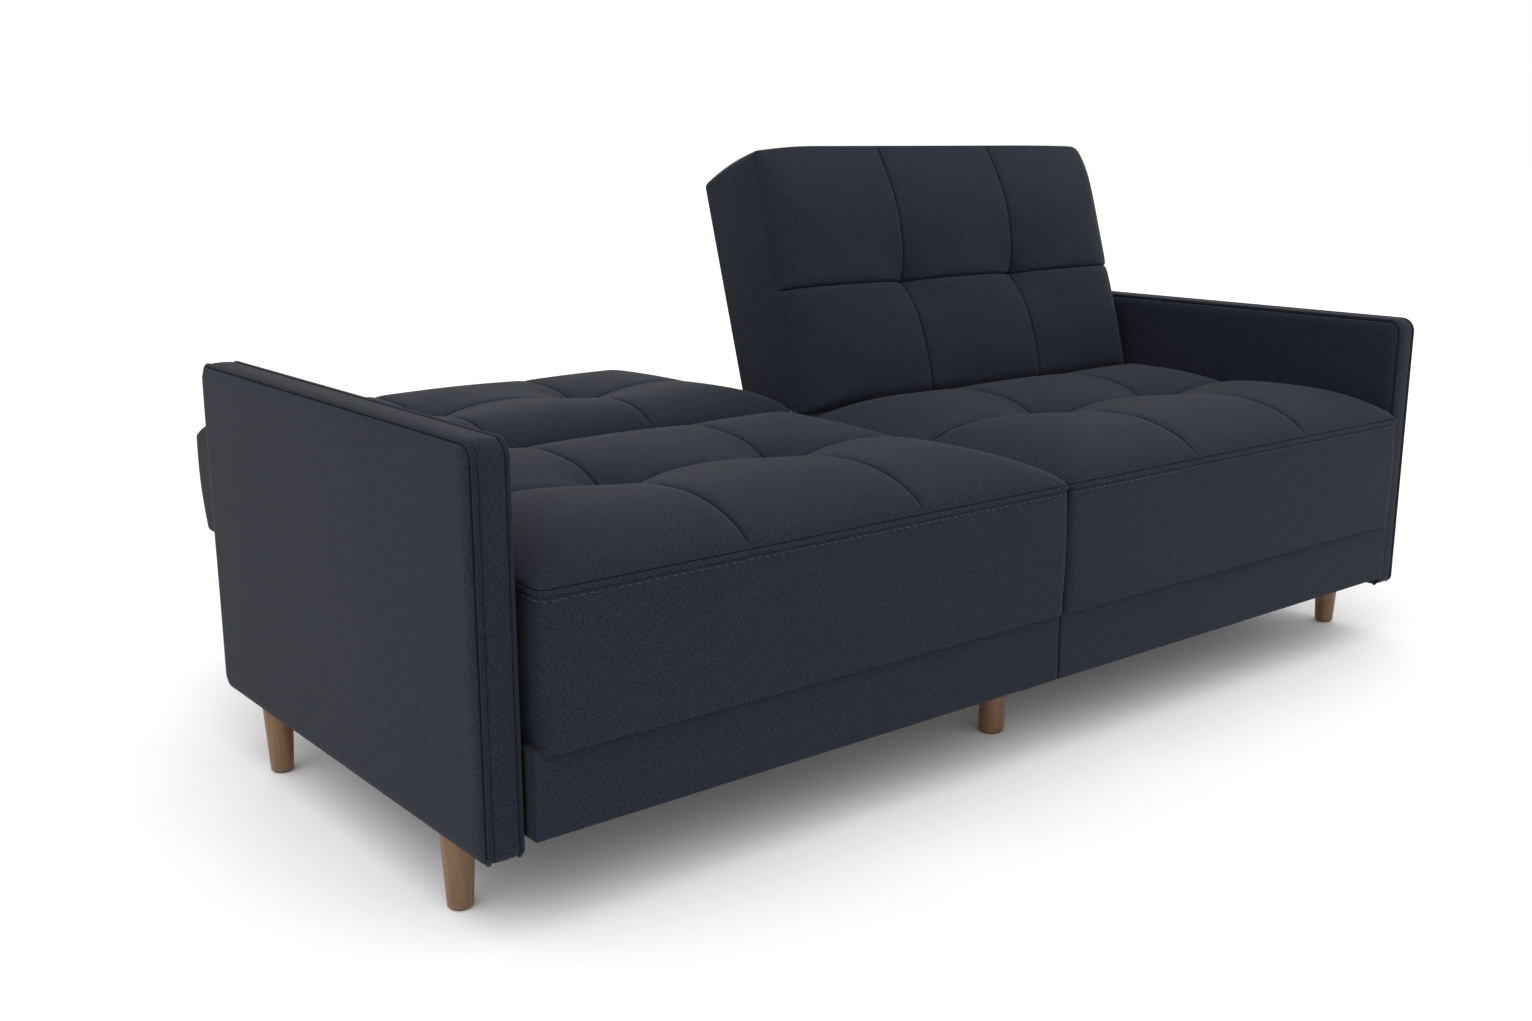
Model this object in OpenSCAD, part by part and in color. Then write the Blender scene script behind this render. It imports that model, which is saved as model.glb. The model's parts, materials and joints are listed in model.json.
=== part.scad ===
// Futon sofa bed: two seat sections between two slab arms, and two backs that fold flat one at a time.
// +X is the width, -Y the front, +Z up; the origin lies on the floor, midway in width and in depth.
// The right half is drawn, and the left half is its mirror image. At rest the left back lies flat
// and the right back stands upright.

/* [Overall] */
// Width over both arms
overall_w = 1943; // [1850:1:2050]
// Depth from the seat front to the far end of a flat back
overall_d = 1112; // [1112:1:1160]
// How far a back turns between flat and upright, in degrees
upright_angle = 76; // [60:1:80]

/* [Arms] */
// Depth of an arm
arm_d = 816; // [790:1:850]
// Height of the arm tops above the floor
arm_top = 599; // [560:1:640]
// Height of the arm bottoms above the floor
arm_bottom = 102; // [95:1:120]
// Thickness of an arm
arm_t = 57; // [54:1:66]
// Thickness of the foam and fabric on each face of an arm
arm_pad_t = 12; // [9:1:14]
// Corner radius of an arm, except at the bottom front
arm_corner_r = 24; // [18:1:36]
// Corner radius of an arm at the bottom front
arm_toe_r = 12; // [11:1:20]
// Radius of the piping round the arm faces
piping_r = 3; // [2:0.5:3.5]

/* [Seat] */
// How far the seat cushions stand in front of the arms
seat_proud = 21; // [12:1:30]
// Depth of a seat cushion
seat_d = 623; // [600:1:623]
// Height of the underside of a seat cushion
seat_base = 232; // [228:1:236]
// Height of the front edge seam of a seat cushion
seat_edge = 426; // [415:1:430]
// Height of the crown of a seat cushion
seat_crown = 468; // [460:1:472]
// Gap between a seat cushion and the arm
seat_arm_gap = 15.5; // [15.5:0.5:18]
// Gap from the centre plane to the end of a seat cushion
seat_centre_gap = 1.5; // [1:0.5:3]

/* [Base] */
// Height of the underside of the base rails above the floor
rail_bottom = 124; // [121:1:128]
// Thickness of the wooden rails
rail_t = 28; // [22:1:32]
// Thickness of the padded fabric on the base rails
apron_t = 5; // [3:1:6]
// How far the padded fabric laps back over the outer end rails
apron_lap = 50; // [20:1:50]
// Number of slats under each seat
slat_count = 5; // [3:1:7]

/* [Backs] */
// Distance of the hinge pivot behind the arm fronts
pivot_back = 621; // [621:1:624]
// Height of the hinge pivot above the floor
pivot_z = 443; // [441:1:445]
// Height of the back's front face above the pivot when it lies flat
face_above_pivot = 12; // [11:1:13]
// Rise of a back's front face from its near edge to its crown
back_crown = 26; // [18:1:28]
// Fall of the back's front face edge from its near end to its far end
back_edge_fall = 10; // [4:1:14]
// Thickness of a back below the pivot, at the hinge end
back_drop_near = 134; // [125:1:140]
// Thickness of a back below the pivot, at the far end
back_drop_far = 155; // [148:1:160]
// Gap from the centre plane to the end of a back
back_centre_gap = 4; // [3:0.5:6]
// Gap between a back and the arm
back_arm_gap = 19.5; // [18:0.5:22]

/* [Legs] */
// Top diameter of a leg under an arm
leg_top_d = 44; // [38:1:50]
// Bottom diameter of a leg under an arm
leg_foot_d = 33; // [28:1:38]
// Diameter of a centre leg
centre_leg_d = 41; // [36:1:46]
// Thickness of the glides under the legs
glide_t = 2; // [1.5:0.5:4]

/* [Hidden] */
$fn = 48;

fabric = [0.19, 0.21, 0.25];
dark_fabric = [0.12, 0.13, 0.15];
coil_cloth = [0.85, 0.84, 0.80];
timber = [0.72, 0.58, 0.40];
walnut = [0.43, 0.31, 0.21];
steel = [0.55, 0.56, 0.58];
nylon = [0.10, 0.10, 0.11];

slip = 0.05;                                   // radial clearance of a bolt or pin in its hole
fit_gap = 0.3;                                 // radial clearance of a sleeve in foam
cut = 1;                                       // how far a cutting shape runs past a face

// Places along Y
seat_front_y = -overall_d / 2;
arm_front_y = seat_front_y + seat_proud;
seat_rear_y = seat_front_y + seat_d;
pivot_y = arm_front_y + pivot_back;
back_length = overall_d / 2 - pivot_y;         // pivot to the far end of the front face
apron_setback = 8;                             // apron behind the seat front
rear_setback = 4;                              // rear rail before the rear of the seat
apron_front_y = seat_front_y + apron_setback;
front_rail_y = apron_front_y + apron_t;
rear_rail_y = seat_rear_y - rear_setback - rail_t;
end_rail_front_y = front_rail_y + rail_t;

// Places along X, right half
arm_outer_x = overall_w / 2;
arm_inner_x = arm_outer_x - arm_t;
arm_middle_x = arm_outer_x - arm_t / 2;
seat_outer_x = arm_inner_x - seat_arm_gap;
seat_inner_x = seat_centre_gap;
back_outer_x = arm_inner_x - back_arm_gap;
back_inner_x = back_centre_gap;
apron_arm_gap = 4.5;
apron_outer_x = arm_inner_x - apron_arm_gap;

// Hinge layers, measured outward from the inner face of the seat plate
plate_t = 3;
back_plate_w = 4;
hinge_outer_x = seat_outer_x + 1;
hinge_inner_x = 13;
back_pocket_w = -5;                            // floor of the pocket in the inner end of a back
back_rail_w = -36;                             // face of a back side rail
end_rail_inner_x = hinge_inner_x + 1;
back_cavity_x0 = hinge_inner_x - back_rail_w;
back_cavity_x1 = hinge_outer_x + back_rail_w;

// Hinge geometry about the pivot, in (y, z) with the back lying flat
pin_r = 5;
pin_collar_r = 8;
pin_head_r = 8.5;
ear_r = 11;
rim_r = 26;
pawl_angle = 250;                              // direction of the pawl nose from the pivot
pawl_pin = [-30, -54];
pawl_pin_r = 3;
pawl_washer_r = 5;
pawl_boss_r = 7;
pawl_nose_r = 2.2;
pawl_gap = 0.5;                                // clearance of the lifted pawl over the rim
notch_r = 3;
seat_bolt_places = [[26, 150], [26, 205], [52, 178]];   // forward of the seat rear face, height
back_bolt_places = [[80, -42], [150, -48]];
bolt_r = 3;
bolt_head_r = 6;
bolt_head_t = 3;
bolt_short = 3;                                // wood left beyond the tip of a hinge bolt
spacer_r = 8;

// Arm layers
border_t = 4;
pad_inset = 2 * piping_r + 1;

// Base layers
deck_t = 6;
slat_t = 20;
slat_w = 60;
deck_bottom = seat_base - deck_t;
slat_bottom = deck_bottom - slat_t;
dust_t = 1.5;
dust_inset = 2;
apron_return_t = 4;
apron_under_t = 3;
slat_margin = 60;
plate_half_w = 60;                             // half width of a centre leg plate
plate_half_d = 40;                             // half depth of a centre leg plate
leg_plate_t = 3;

// Legs
front_leg_y = arm_front_y + 120;
rear_leg_y = arm_front_y + 673;
centre_rear_leg_y = arm_front_y + 540;
hanger_r = 4;
hanger_in_leg = 40;
hanger_in_arm = 34;
centre_bolt_places = [-440, -240, -40];
arm_bolt_places = [-450, -310, -170, -30];
base_bolt_z = 178;
base_bolt_head_r = 8;
base_bolt_head_t = 6;
arm_bolt_past_middle = 7;
sleeve_r = 10;
nut_r = 7.5;
nut_t = 7;
thread_past_nut = 5;
glide_inset = 4;

// Cushion walls
seat_wall = 45;
seat_topper = 50;
seat_shoulder = 52;                            // how far in from front and rear the crown starts
seat_rear_fall = 28;
seat_corner_r = 12;
seat_pocket_d = 40;                            // depth of the pocket for the inner hinge
back_topper = 42;
back_near_shoulder = 45;
back_far_shoulder = 400;
back_rear_near = -6;
back_rear_short = 16;                          // rear face shorter than the front face
back_panel_t = 12;
seat_coil_r = 37;
seat_coil_grid = [10, 6];
back_coil_r = 34;
back_coil_grid = [10, 4];
back_front = face_above_pivot - back_topper;   // under the topper of a back
back_rail_near = 33;
back_rail_far = back_length - 66;
back_rail_rear = -105;
back_coil_rear = -118;
coil_gap = 2;

// ---------- helpers ----------

module on_left() {
    mirror([1, 0, 0]) children();
}

// Extrudes a (y, z) outline from x0 to x1
module along_x(x0, x1) {
    translate([x0, 0, 0]) rotate([90, 0, 90]) linear_extrude(x1 - x0) children();
}

module block(low, high) {
    translate(low) cube(high - low);
}

module rod_x(x0, x1, y, z, r) {
    translate([x0, y, z]) rotate([0, 90, 0]) cylinder(h = x1 - x0, r = r);
}

module rod_z(x, y, z0, z1, r) {
    translate([x, y, z0]) cylinder(h = z1 - z0, r = r);
}

// Both hinges of the right half, each drawn with +X pointing away from the cushions
module hinge_stations() {
    translate([hinge_outer_x, 0, 0]) children();
    translate([hinge_inner_x, 0, 0]) mirror([1, 0, 0]) children();
}

// Places a back, drawn lying flat about the pivot, at the given angle
module back_at(angle) {
    translate([0, pivot_y, pivot_z]) rotate([angle, 0, 0]) children();
}

// Arm outline in (y, z), drawn in by the given inset
module arm_outline(inset) {
    d = arm_d - 2 * inset;
    h = arm_top - arm_bottom - 2 * inset;
    r = arm_corner_r - inset;
    toe = arm_toe_r - inset;
    translate([arm_front_y + inset, arm_bottom + inset]) difference() {
        square([d, h]);
        arm_corner([0, 0], [1, 1], toe);
        arm_corner([d, 0], [-1, 1], r);
        arm_corner([0, h], [1, -1], r);
        arm_corner([d, h], [-1, -1], r);
    }
}

// The waste outside one rounded corner; way points from the corner into the outline
module arm_corner(at, way, r) {
    translate(at) scale([way[0], way[1]]) difference() {
        translate([-cut, -cut]) square(r + cut);
        translate([r, r]) circle(r);
    }
}

// ---------- arms ----------

module arm_core() {
    color(timber) difference() {
        along_x(arm_inner_x + arm_pad_t, arm_outer_x - arm_pad_t) arm_outline(border_t);
        for (y = arm_bolt_places)
            rod_x(arm_inner_x, arm_middle_x + arm_bolt_past_middle + cut, y, base_bolt_z, hanger_r + slip);
        for (y = [front_leg_y, rear_leg_y])
            rod_z(arm_middle_x, y, arm_bottom - cut, arm_bottom + hanger_in_arm + cut, hanger_r + slip);
    }
}

module arm_outer_pad() {
    color(fabric) along_x(arm_outer_x - arm_pad_t, arm_outer_x) arm_outline(pad_inset);
}

module arm_inner_pad() {
    color(fabric) difference() {
        along_x(arm_inner_x, arm_inner_x + arm_pad_t) arm_outline(pad_inset);
        for (y = arm_bolt_places)
            rod_x(arm_inner_x - cut, arm_inner_x + arm_pad_t + cut, y, base_bolt_z, sleeve_r + fit_gap);
    }
}

module arm_border() {
    color(fabric) difference() {
        along_x(arm_inner_x + arm_pad_t, arm_outer_x - arm_pad_t) difference() {
            arm_outline(0);
            arm_outline(border_t);
        }
        for (y = [front_leg_y, rear_leg_y])
            rod_z(arm_middle_x, y, arm_bottom - cut, arm_bottom + border_t + cut, hanger_r + slip);
    }
}

// One closed loop of piping in the plane x
module piping_loop(x) {
    inset = piping_r;
    y0 = arm_front_y + inset;
    y1 = arm_front_y + arm_d - inset;
    z0 = arm_bottom + inset;
    z1 = arm_top - inset;
    r = arm_corner_r - inset;
    toe = arm_toe_r - inset;
    piping_run(x, y0 + toe, z0, arm_d - 2 * inset - toe - r, 0);
    piping_run(x, y0 + r, z1, arm_d - 2 * inset - 2 * r, 0);
    piping_run(x, y0, z0 + toe, z1 - z0 - toe - r, 90);
    piping_run(x, y1, z0 + r, z1 - z0 - 2 * r, 90);
    piping_bend(x, y0 + toe, z0 + toe, toe, 180);
    piping_bend(x, y1 - r, z0 + r, r, 270);
    piping_bend(x, y1 - r, z1 - r, r, 0);
    piping_bend(x, y0 + r, z1 - r, r, 90);
}

// A straight stretch of piping: lift 0 runs along +Y, lift 90 along +Z
module piping_run(x, y, z, length, lift) {
    translate([x, y, z]) rotate([lift - 90, 0, 0]) cylinder(h = length, r = piping_r);
}

// A quarter turn of piping about (y, z), from the direction start
module piping_bend(x, y, z, r, start) {
    translate([x, y, z]) rotate([90, 0, 90]) rotate([0, 0, start])
        rotate_extrude(angle = 90) translate([r, 0]) circle(piping_r);
}

module arm_piping() {
    color(fabric) {
        piping_loop(arm_inner_x + arm_pad_t - piping_r);
        piping_loop(arm_outer_x - arm_pad_t + piping_r);
    }
}

// ---------- legs ----------

module tapered_leg(y) {
    color(walnut) difference() {
        translate([arm_middle_x, y, glide_t])
            cylinder(h = arm_bottom - glide_t, d1 = leg_foot_d, d2 = leg_top_d);
        rod_z(arm_middle_x, y, arm_bottom - hanger_in_leg, arm_bottom + cut, hanger_r + slip);
    }
}

module centre_leg(y) {
    top = rail_bottom - leg_plate_t;
    color(walnut) difference() {
        translate([0, y, glide_t]) cylinder(h = top - glide_t, d = centre_leg_d);
        rod_z(0, y, top - hanger_in_leg, top + cut, hanger_r + slip);
    }
}

module leg_hanger_bolts() {
    arm_tip = arm_bottom - hanger_in_leg + cut;
    centre_tip = rail_bottom - leg_plate_t - hanger_in_leg + cut;
    color(steel) {
        for (side = [-1, 1], y = [front_leg_y, rear_leg_y])
            rod_z(side * arm_middle_x, y, arm_tip, arm_bottom + hanger_in_arm, hanger_r);
        for (y = [front_leg_y, centre_rear_leg_y]) {
            rod_z(0, y, centre_tip, rail_bottom + nut_t + thread_past_nut, hanger_r);
            rod_z(0, y, rail_bottom, rail_bottom + nut_t, nut_r);
        }
    }
}

module leg_glides() {
    color(nylon) {
        for (side = [-1, 1], y = [front_leg_y, rear_leg_y])
            rod_z(side * arm_middle_x, y, 0, glide_t, leg_foot_d / 2 - glide_inset);
        for (y = [front_leg_y, centre_rear_leg_y])
            rod_z(0, y, 0, glide_t, centre_leg_d / 2 - glide_inset);
    }
}

module centre_leg_plates() {
    color(steel) for (y = [front_leg_y, centre_rear_leg_y])
        difference() {
            block([-plate_half_w, y - plate_half_d, rail_bottom - leg_plate_t],
                  [plate_half_w, y + plate_half_d, rail_bottom]);
            rod_z(0, y, rail_bottom - leg_plate_t - cut, rail_bottom + cut, hanger_r + slip);
        }
}

// ---------- seat base ----------

module seat_front_rail() {
    color(timber) block([seat_inner_x, front_rail_y, rail_bottom],
                        [apron_outer_x - apron_return_t, end_rail_front_y, seat_base]);
}

module seat_rear_rail() {
    color(timber) difference() {
        block([end_rail_inner_x, rear_rail_y, rail_bottom], [seat_outer_x, rear_rail_y + rail_t, seat_base]);
        seat_bolt_holes();
    }
}

module seat_end_rails() {
    color(timber) difference() {
        for (x = [end_rail_inner_x, seat_outer_x - rail_t])
            block([x, end_rail_front_y, rail_bottom], [x + rail_t, rear_rail_y, seat_base]);
        for (y = arm_bolt_places)
            rod_x(seat_outer_x - rail_t - cut, seat_outer_x + cut, y, base_bolt_z, hanger_r + slip);
        for (y = centre_bolt_places)
            rod_x(0, end_rail_inner_x + rail_t + cut, y, base_bolt_z, hanger_r + slip);
        seat_bolt_holes();
    }
}

module seat_slats() {
    first = end_rail_inner_x + rail_t + slat_margin;
    last = seat_outer_x - rail_t - slat_margin - slat_w;
    color(timber) for (i = [0 : slat_count - 1]) {
        x = first + i * (last - first) / (slat_count - 1);
        block([x, end_rail_front_y, slat_bottom], [x + slat_w, rear_rail_y, deck_bottom]);
    }
}

module seat_deck() {
    color(timber) block([end_rail_inner_x + rail_t, end_rail_front_y, deck_bottom],
                        [seat_outer_x - rail_t, rear_rail_y, seat_base]);
}

module seat_coils() {
    x0 = seat_inner_x + seat_wall;
    x1 = seat_outer_x - seat_wall;
    y0 = seat_front_y + seat_wall;
    y1 = seat_rear_y - seat_wall;
    step_x = (x1 - x0) / seat_coil_grid[0];
    step_y = (y1 - y0) / seat_coil_grid[1];
    color(coil_cloth) for (i = [0 : seat_coil_grid[0] - 1], j = [0 : seat_coil_grid[1] - 1])
        rod_z(x0 + (i + 0.5) * step_x, y0 + (j + 0.5) * step_y, seat_base,
              seat_crown - seat_topper, seat_coil_r);
}

// A topper and four walls round the coil unit, open below, with a crowned top and a pocket for the inner hinge
module seat_cushion() {
    color(fabric) difference() {
        intersection() {
            along_x(seat_inner_x, seat_outer_x) polygon([
                [seat_front_y, seat_base], [seat_rear_y, seat_base], [seat_rear_y, seat_crown - seat_rear_fall],
                [seat_rear_y - seat_shoulder, seat_crown], [seat_front_y + seat_shoulder, seat_crown],
                [seat_front_y, seat_edge]
            ]);
            seat_plan(seat_corner_r);
        }
        block([seat_inner_x + seat_wall, seat_front_y + seat_wall, seat_base - cut],
              [seat_outer_x - seat_wall, seat_rear_y - seat_wall, seat_crown - seat_topper]);
        block([0, seat_rear_y - seat_pocket_d, seat_base - cut],
              [end_rail_inner_x, seat_rear_y + cut, seat_crown + cut]);
    }
}

// Rounded outline of a seat cushion seen from above, as a tall prism
module seat_plan(r) {
    w = seat_outer_x - seat_inner_x;
    translate([seat_inner_x, seat_front_y, 0]) linear_extrude(seat_crown + cut) difference() {
        square([w, seat_d]);
        arm_corner([0, 0], [1, 1], r);
        arm_corner([w, 0], [-1, 1], r);
    }
}

// Padded fabric in front of the base rail and under it, lapped back round its outer end
module apron() {
    hem = rail_bottom - apron_under_t;
    color(fabric) {
        block([seat_inner_x, apron_front_y, hem], [apron_outer_x, front_rail_y, seat_base]);
        block([apron_outer_x - apron_return_t, apron_front_y, hem],
              [apron_outer_x, end_rail_front_y + apron_lap, seat_base]);
        block([seat_inner_x, apron_front_y, hem], [apron_outer_x, end_rail_front_y, rail_bottom]);
    }
}

module dust_cover() {
    color(dark_fabric) block([plate_half_w + dust_inset, end_rail_front_y + dust_inset, rail_bottom - dust_t],
                             [seat_outer_x, rear_rail_y + rail_t, rail_bottom]);
}

module arm_bolts() {
    head = seat_outer_x - rail_t;
    color(steel) for (side = [-1, 1], y = arm_bolt_places)
        scale([side, 1, 1]) {
            rod_x(head - cut, arm_middle_x + arm_bolt_past_middle, y, base_bolt_z, hanger_r);
            rod_x(head - base_bolt_head_t, head, y, base_bolt_z, base_bolt_head_r);
            rod_x(seat_outer_x, arm_inner_x + arm_pad_t, y, base_bolt_z, sleeve_r);
        }
}

module centre_bolts() {
    reach = end_rail_inner_x + rail_t;
    color(steel) for (y = centre_bolt_places) {
        rod_x(-reach - cut, reach + cut, y, base_bolt_z, hanger_r);
        rod_x(-end_rail_inner_x, end_rail_inner_x, y, base_bolt_z, sleeve_r);
        rod_x(-reach - base_bolt_head_t, -reach, y, base_bolt_z, base_bolt_head_r);
        rod_x(reach, reach + base_bolt_head_t, y, base_bolt_z, base_bolt_head_r);
    }
}

// ---------- hinges ----------

module seat_bolt_holes() {
    hinge_stations() for (place = seat_bolt_places)
        rod_x(bolt_short - cut - rail_t, cut, seat_rear_y - place[0], place[1], bolt_r + slip);
}

// Upright steel plate from the base rails to the pivot
module hinge_seat_plate() {
    y = seat_rear_y;
    difference() {
        union() {
            along_x(0, plate_t) polygon([
                [y - 62, 135], [y - 12, 135], [y - 4, 150], [y - 4, 330], [pivot_y + 6, pivot_z - 30],
                [pivot_y + ear_r, pivot_z], [pivot_y - ear_r, pivot_z], [y - 32, pivot_z - 34],
                [y - 36, 230], [y - 62, 212]
            ]);
            rod_x(0, plate_t, pivot_y, pivot_z, ear_r);
        }
        rod_x(-cut, plate_t + cut, pivot_y, pivot_z, pin_r + slip);
        rod_x(-cut, plate_t + cut, pivot_y + pawl_pin[0], pivot_z + pawl_pin[1], pawl_pin_r);
        for (place = seat_bolt_places)
            rod_x(-cut, plate_t + cut, y - place[0], place[1], bolt_r + slip);
    }
}

// Both halves of the object have one at each end
module hinge_seat_plates() {
    color(steel) both_halves() hinge_stations() hinge_seat_plate();
}

module both_halves() {
    children();
    on_left() children();
}

// Pivot pin with its collar and head, and the pin that the pawl turns on
module hinge_pins() {
    color(steel) both_halves() hinge_stations() {
        rod_x(-2.5, 8.5, pivot_y, pivot_z, pin_r);
        rod_x(-3, -0.5, pivot_y, pivot_z, pin_collar_r);
        rod_x(7.4, 9, pivot_y, pivot_z, pin_head_r);
        rod_x(0, back_plate_w + plate_t + cut, pivot_y + pawl_pin[0], pivot_z + pawl_pin[1], pawl_pin_r - slip);
        rod_x(back_plate_w + plate_t + fit_gap, back_plate_w + plate_t + 1.5,
              pivot_y + pawl_pin[0], pivot_z + pawl_pin[1], pawl_washer_r);
    }
}

module hinge_seat_bolts() {
    color(steel) both_halves() hinge_stations() for (place = seat_bolt_places) {
        rod_x(bolt_short - rail_t, plate_t + cut, seat_rear_y - place[0], place[1], bolt_r);
        rod_x(plate_t, plate_t + bolt_head_t, seat_rear_y - place[0], place[1], bolt_head_r);
    }
}

// Back plate in (y, z) about the pivot: an ear, a notched rim for the pawl, and an arm along the side rail
module back_plate_outline() {
    difference() {
        union() {
            circle(ear_r);
            intersection() {
                circle(rim_r);
                polygon([[0, 0], [-40, 9], [-40, -40], [8, -40]]);
            }
            polygon([[0, ear_r], [34, -6], [176, -24], [176, -68], [48, -64], [7, -25], [0, -20]]);
        }
        for (turn = [0, upright_angle / 2, upright_angle])
            rotate([0, 0, pawl_angle - turn]) translate([rim_r + pawl_gap, 0]) circle(notch_r);
        circle(pin_r + slip);
        for (place = back_bolt_places)
            translate(place) circle(bolt_r + slip);
    }
}

module back_hinge_plates() {
    color(steel) hinge_stations() along_x(back_plate_w, back_plate_w + plate_t) back_plate_outline();
}

module back_hinge_bolts() {
    color(steel) hinge_stations() for (place = back_bolt_places) {
        rod_x(back_rail_w - rail_t + bolt_short, back_plate_w + plate_t + cut, place[0], place[1], bolt_r);
        rod_x(back_rail_w, back_plate_w, place[0], place[1], spacer_r);
        rod_x(back_plate_w + plate_t, back_plate_w + plate_t + 2, place[0], place[1], bolt_head_r);
    }
}

// Lever whose nose drops into the rim's notches, drawn lifted just clear of the rim
module pawl() {
    nose = (rim_r + pawl_gap + pawl_nose_r) * [cos(pawl_angle), sin(pawl_angle)];
    translate([0, pivot_y, pivot_z]) along_x(back_plate_w, back_plate_w + plate_t) difference() {
        union() {
            translate(pawl_pin) circle(pawl_boss_r);
            translate(nose) circle(pawl_nose_r);
            polygon([pawl_pin + [-5, 5], nose + [-1.6, 1.4], nose + [1.9, -1], pawl_pin + [6, -3.5]]);
        }
        translate(pawl_pin) circle(pawl_pin_r);
    }
}

module hinge_pawls() {
    color(steel) hinge_stations() pawl();
}

// ---------- backs, drawn lying flat about the pivot ----------

// A crowned front face and a flat rear face
module back_outline() {
    crown = face_above_pivot + back_crown;
    polygon([
        [-face_above_pivot, face_above_pivot], [back_near_shoulder, crown], [back_far_shoulder, crown],
        [back_length, face_above_pivot - back_edge_fall], [back_length - back_rear_short, -back_drop_far],
        [back_rear_near, -back_drop_near]
    ]);
}

// The rear layer of a back, where the rear panel lies
module back_rear_zone() {
    polygon([
        [-40, -back_drop_near + back_panel_t], [back_length + 40, -back_drop_far + back_panel_t],
        [back_length + 40, -back_drop_far - 40], [-40, -back_drop_near - 40]
    ]);
}

module back_cavity() {
    polygon([[back_rail_near, back_front], [back_length - 50, back_front],
             [back_rail_far + cut, -back_drop_far - cut], [back_rail_near, -back_drop_far - cut]]);
}

module back_bolt_holes(r) {
    hinge_stations() for (place = back_bolt_places)
        rod_x(back_rail_w - rail_t + bolt_short - cut, cut, place[0], place[1], r);
}

module back_cushion() {
    color(fabric) difference() {
        along_x(back_inner_x, back_outer_x) back_outline();
        along_x(back_inner_x - cut, back_outer_x + cut) back_rear_zone();
        along_x(back_cavity_x0, back_cavity_x1) back_cavity();
        back_hinge_pocket();
        back_bolt_holes(spacer_r + fit_gap);
    }
}

// Room in the inner end of a back for the hinge plates over the whole travel
module back_hinge_pocket() {
    floor_x = hinge_inner_x - back_pocket_w;
    top = face_above_pivot + back_crown + cut;
    block([0, -20, -125], [floor_x, 24, top]);
    block([0, 0, -80], [floor_x, 182, -2]);
    block([0, 0, -2], [floor_x, 44, top]);
}

module back_panel() {
    color(fabric) intersection() {
        along_x(back_inner_x, back_outer_x) back_outline();
        along_x(back_inner_x - cut, back_outer_x + cut) back_rear_zone();
    }
}

module back_side_rails() {
    color(timber) difference() {
        for (x = [back_cavity_x0, back_cavity_x1 - rail_t])
            block([x, back_rail_near, back_rail_rear], [x + rail_t, back_rail_far, back_front]);
        back_bolt_holes(bolt_r + slip);
    }
}

module back_cross_rail(near) {
    color(timber) block([back_cavity_x0 + rail_t, near, back_rail_rear],
                        [back_cavity_x1 - rail_t, near + rail_t, back_front]);
}

module back_coils() {
    x0 = back_cavity_x0 + rail_t + coil_gap;
    x1 = back_cavity_x1 - rail_t - coil_gap;
    y0 = back_rail_near + rail_t + coil_gap;
    y1 = back_rail_far - rail_t - coil_gap;
    step_x = (x1 - x0) / back_coil_grid[0];
    step_y = (y1 - y0) / back_coil_grid[1];
    color(coil_cloth) for (i = [0 : back_coil_grid[0] - 1], j = [0 : back_coil_grid[1] - 1])
        rod_z(x0 + (i + 0.5) * step_x, y0 + (j + 0.5) * step_y, back_coil_rear, back_front, back_coil_r);
}

// ---------- the object ----------

on_left() arm_core();  // left_arm_core
on_left() arm_outer_pad();  // left_arm_outer_pad
on_left() arm_inner_pad();  // left_arm_inner_pad
on_left() arm_border();  // left_arm_border
on_left() arm_piping();  // left_arm_piping
arm_core();  // right_arm_core
arm_outer_pad();  // right_arm_outer_pad
arm_inner_pad();  // right_arm_inner_pad
arm_border();  // right_arm_border
arm_piping();  // right_arm_piping
on_left() tapered_leg(front_leg_y);  // left_front_leg
on_left() tapered_leg(rear_leg_y);  // left_rear_leg
tapered_leg(front_leg_y);  // right_front_leg
tapered_leg(rear_leg_y);  // right_rear_leg
centre_leg(front_leg_y);  // centre_front_leg
centre_leg(centre_rear_leg_y);  // centre_rear_leg
leg_hanger_bolts();
leg_glides();
centre_leg_plates();
arm_bolts();
on_left() seat_front_rail();  // left_seat_front_rail
on_left() seat_rear_rail();  // left_seat_rear_rail
on_left() seat_end_rails();  // left_seat_end_rails
on_left() seat_slats();  // left_seat_slats
on_left() seat_deck();  // left_seat_deck
on_left() seat_coils();  // left_seat_coils
on_left() seat_cushion();  // left_seat_cushion
on_left() apron();  // left_apron
on_left() dust_cover();  // left_dust_cover
seat_front_rail();  // right_seat_front_rail
seat_rear_rail();  // right_seat_rear_rail
seat_end_rails();  // right_seat_end_rails
seat_slats();  // right_seat_slats
seat_deck();  // right_seat_deck
seat_coils();  // right_seat_coils
seat_cushion();  // right_seat_cushion
apron();  // right_apron
dust_cover();  // right_dust_cover
centre_bolts();
hinge_seat_plates();
hinge_pins();
hinge_seat_bolts();
on_left() back_at(0) back_side_rails();  // left_back_side_rails
on_left() back_at(0) back_cross_rail(back_rail_far - rail_t);  // left_back_top_rail
on_left() back_at(0) back_cross_rail(back_rail_near);  // left_back_bottom_rail
on_left() back_at(0) back_coils();  // left_back_coils
on_left() back_at(0) back_cushion();  // left_back_cushion
on_left() back_at(0) back_panel();  // left_back_panel
on_left() back_at(0) back_hinge_plates();  // left_back_hinge_plates
on_left() back_at(0) back_hinge_bolts();  // left_back_hinge_bolts
back_at(upright_angle) back_side_rails();  // right_back_side_rails
back_at(upright_angle) back_cross_rail(back_rail_far - rail_t);  // right_back_top_rail
back_at(upright_angle) back_cross_rail(back_rail_near);  // right_back_bottom_rail
back_at(upright_angle) back_coils();  // right_back_coils
back_at(upright_angle) back_cushion();  // right_back_cushion
back_at(upright_angle) back_panel();  // right_back_panel
back_at(upright_angle) back_hinge_plates();  // right_back_hinge_plates
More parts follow.
